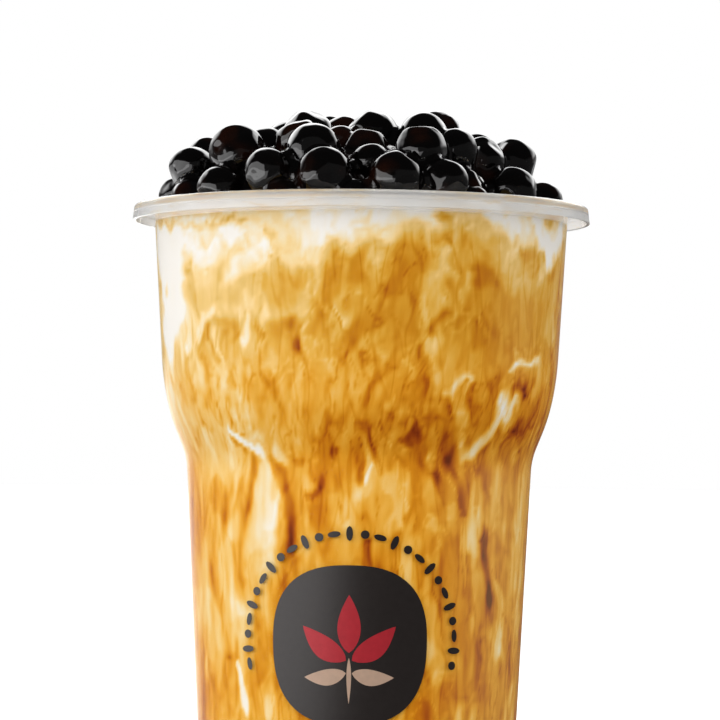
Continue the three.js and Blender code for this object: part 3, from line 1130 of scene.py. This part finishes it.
def build_drink():
    wall = inside_profile(-DRINK_INTO_WALL, DRINK_LEVEL)
    foot, side = wall[:CORNER_STEPS + 1], wall[CORNER_STEPS + 1:]
    side = thinned(even_steps(side, PATTERN_SPACING), PATTERN_SPACING)
    top = [(side[-1][0] * share, DRINK_LEVEL) for share in (0.9, 0.75, 0.5, 0.25, 0)]
    vertices, faces = turned(foot + side + top, PATTERN_COLUMNS)
    drink = object_from("milk_tea", vertices, faces, milk_syrup_and_painted_light())
    points = np.array(vertices)
    along = np.arctan2(points[:, 0], -points[:, 1]) * WALL_ARC_RADIUS
    share = drink.data.attributes.new(SYRUP_AND_PAINTED_LIGHT, "FLOAT", "POINT")
    share.data.foreach_set("value", syrup_and_painted_light_share(along, points[:, 2]))
    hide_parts("drink")


def heap_core():
    """A dome that lies under the shown pearls and fills the hidden gaps between them."""
    top = CUP_HEIGHT + HEAP_TOP - 1.3 * PEARL_RADIUS
    reach = HEAP_REACH - PEARL_RADIUS
    bottom = DRINK_LEVEL - 1
    shares = np.linspace(0, 0.98, 16)
    dome = [(reach * t, bottom + (top - bottom) * (1 - t ** 5)) for t in shares]
    return turned([(0, bottom), (reach, bottom)] + dome[::-1], CORE_SIDES)


def smoothed(piece, rounds):
    smooth = piece.modifiers.new("smooth", "SMOOTH")
    smooth.factor = 0.5
    smooth.iterations = rounds


def build_glaze(groups, material):
    """Syrup in the gaps: one skin drawn over the shown pearls and let back down, which leaves
    it standing in every narrow gap."""
    vertices, faces = heap_core()
    for seed, group in enumerate(groups):
        more, more_faces = joined(group, 3, seed, grown=GLAZE_REACH)
        start = len(vertices)
        vertices += more
        faces += [tuple(start + i for i in face) for face in more_faces]
    draft = object_from("draft", vertices, faces, material, 180)
    voxels = draft.modifiers.new("voxels", "REMESH")
    voxels.mode = "VOXEL"
    voxels.voxel_size = GLAZE_VOXEL * MM
    smoothed(draft, 4)
    lower = draft.modifiers.new("lower", "DISPLACE")
    lower.strength = -(GLAZE_REACH + GLAZE_BELOW) * MM
    lower.mid_level = 0
    smoothed(draft, 5)
    shaped = bpy.data.meshes.new_from_object(
        draft.evaluated_get(bpy.context.evaluated_depsgraph_get())
    )
    bpy.data.objects.remove(draft)
    shaped.shade_smooth()
    glaze = bpy.data.objects.new("syrup_in_gaps", shaped)
    bpy.context.scene.collection.objects.link(glaze)
    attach(glaze, BODY)
    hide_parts("pearls")


def build_pearls():
    material = wet_tapioca()
    dice = Dice(2024)
    placed = [
        Pearl(x, -math.sqrt(out ** 2 - x ** 2), height, radius, dice, held=True)
        for x, out, height, radius in FRONT_PEARLS
    ]
    shown = settle(placed + in_rows(PEARL_ROWS, ROWS_START, dice))
    low = tuck_under(in_rows(LOW_ROWS, -HEAP_REACH, dice), shown)
    front = [p for p in shown if p.centre[1] < 0]
    back = [p for p in shown if p.centre[1] >= 0]
    groups = {"pearls_front": (front, 5), "pearls_back": (back, 5), "pearls_below": (low, 4)}
    for seed, (name, (group, detail)) in enumerate(groups.items()):
        vertices, faces = joined(group, detail, seed)
        piece = object_from(name, vertices, faces, material, 80)
        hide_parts("pearls")
    build_glaze([front, back], material)


# The studio

def build_floor():
    """A wide white floor. What gloss mirrors of it is bright at the left and dark elsewhere."""
    material, g = new_material("white_sweep")
    matte = g.surface(Base_Color=(0.9, 0.9, 0.9, 1), Roughness=0.9)
    glow = g.node("ShaderNodeEmission", {"Color": WHITE, "Strength": 0.8})
    lit = g.node("ShaderNodeAddShader", {0: matte, 1: glow})
    across = g.parts(g.place())[0]
    glossy = g.node("ShaderNodeLightPath", output="Is Glossy Ray")
    passing = g.node("ShaderNodeLightPath", output="Is Transmission Ray")
    mirrored = g.math("SUBTRACT", glossy, passing)
    in_gloss = g.lerp(g.step(across, -30, -110), 0.1, 2.0)
    level = g.lerp(mirrored, 0.35, in_gloss)
    dull = g.node("ShaderNodeEmission", {"Color": WHITE, "Strength": level})
    seen = g.node("ShaderNodeLightPath", output="Is Camera Ray")
    g.output(g.node("ShaderNodeMixShader", {0: seen, 1: dull, 2: lit}))
    mesh = bpy.data.meshes.new("floor")
    half_metres = 200
    drop = 0.05 * MM
    corners = [(-1, -1), (1, -1), (1, 1), (-1, 1)]
    points = [(x * half_metres, y * half_metres, -drop) for x, y in corners]
    mesh.from_pydata(points, [], [(0, 1, 2, 3)])
    mesh.materials.append(material)
    floor = bpy.data.objects.new("floor", mesh)
    bpy.context.scene.collection.objects.link(floor)


def build_world():
    """White behind the cup, dim above and in front of it, and plain white where it is seen."""
    world = bpy.data.worlds.new("studio")
    bpy.context.scene.world = world
    g = Graph(world)
    direction = g.node("ShaderNodeTexCoord", output="Generated")
    back = g.node("ShaderNodeSeparateXYZ", {0: direction}, output="Y")
    up = g.node("ShaderNodeSeparateXYZ", {0: direction}, output="Z")
    glossy = g.node("ShaderNodeLightPath", output="Is Glossy Ray")
    sweep = g.times(g.step(back, 0.2, 0.65), g.step(up, 0.74, 0.62))
    above = g.lerp(g.step(up, 0.15, 0.35), 0.35, 3.4)
    in_front = g.lerp(g.step(up, 0.45, 0.33), 0.02, 0.12)
    in_light = g.lerp(sweep, 0.28, 1.0)
    in_gloss = g.lerp(sweep, in_front, above)
    light = g.lerp(glossy, in_light, in_gloss)
    seen = g.math(
        "MAXIMUM",
        g.node("ShaderNodeLightPath", output="Is Camera Ray"),
        g.node("ShaderNodeLightPath", output="Is Transmission Ray"),
    )
    strength = g.lerp(seen, light, 1.0)
    background = g.node("ShaderNodeBackground", {"Color": WHITE, "Strength": strength})
    g.output(background, "ShaderNodeOutputWorld")


def softbox(name, place, aim, size, radiance, in_gloss):
    """A soft light, out of the camera's sight, with one brightness for the light that it gives
    and one for its mirror image in gloss."""
    for part, level in (("light", radiance), ("gloss", in_gloss)):
        if level > 0:
            lamp = area_lamp(f"{name}_{part}", place, aim, size, level)
            lamp.visible_glossy = part == "gloss"
            lamp.visible_diffuse = part == "light"
            lamp.visible_transmission = part == "light"


def area_lamp(name, place, aim, size, radiance):
    """One lamp, its strength given by how bright its face is."""
    light = bpy.data.lights.new(name, "AREA")
    light.shape = "RECTANGLE"
    light.size = size[0] * MM
    light.size_y = size[1] * MM
    light.energy = radiance * math.pi * light.size * light.size_y
    lamp = bpy.data.objects.new(name, light)
    lamp.visible_camera = False
    lamp.location = Vector(place) * MM
    facing = Vector(aim) * MM - lamp.location
    lamp.rotation_euler = facing.to_track_quat("-Z", "Y").to_euler()
    bpy.context.scene.collection.objects.link(lamp)
    return lamp


def build_lights():
    middle = (0, 0, 90)
    softbox("key_left", (-666, -216, 220), (0, 0, 220), (900, 420), 1.4, 0)
    softbox("panel_left", (-620, -360, 190), (0, 0, 190), (1150, 440), 0, 2.4)
    softbox("edge_right", (648, 57, 190), (0, 0, 190), (420, 360), 0.9, 1.8)
    softbox("low_front", (190, -880, 150), (0, 0, 150), (900, 300), 0.2, 0.2)
    softbox("front_fill", (-200, -1100, 560), middle, (1100, 800), 1.3, 0)
    softbox("top_back", (0, 520, 640), middle, (600, 260), 1.2, 2.4)


def build_camera():
    camera = bpy.data.cameras.new("camera")
    camera.lens = CAMERA_LENS
    camera.sensor_width = SENSOR_WIDTH
    camera.sensor_fit = "HORIZONTAL"
    camera.clip_start = 10 * MM
    eye = bpy.data.objects.new("camera", camera)
    tilt = Matrix.Rotation(math.radians(90 + CAMERA_PITCH), 4, "X")
    roll = Matrix.Rotation(math.radians(CAMERA_ROLL), 4, "Z")
    place = Matrix.Translation((0, -CAMERA_DISTANCE * MM, CAMERA_HEIGHT * MM))
    eye.matrix_world = place @ tilt @ roll
    bpy.context.scene.collection.objects.link(eye)
    bpy.context.scene.camera = eye


build_cup()
build_drink()
build_pearls()
badge()
build_floor()
build_world()
build_lights()
build_camera()
bpy.context.scene.view_settings.view_transform = "Standard"
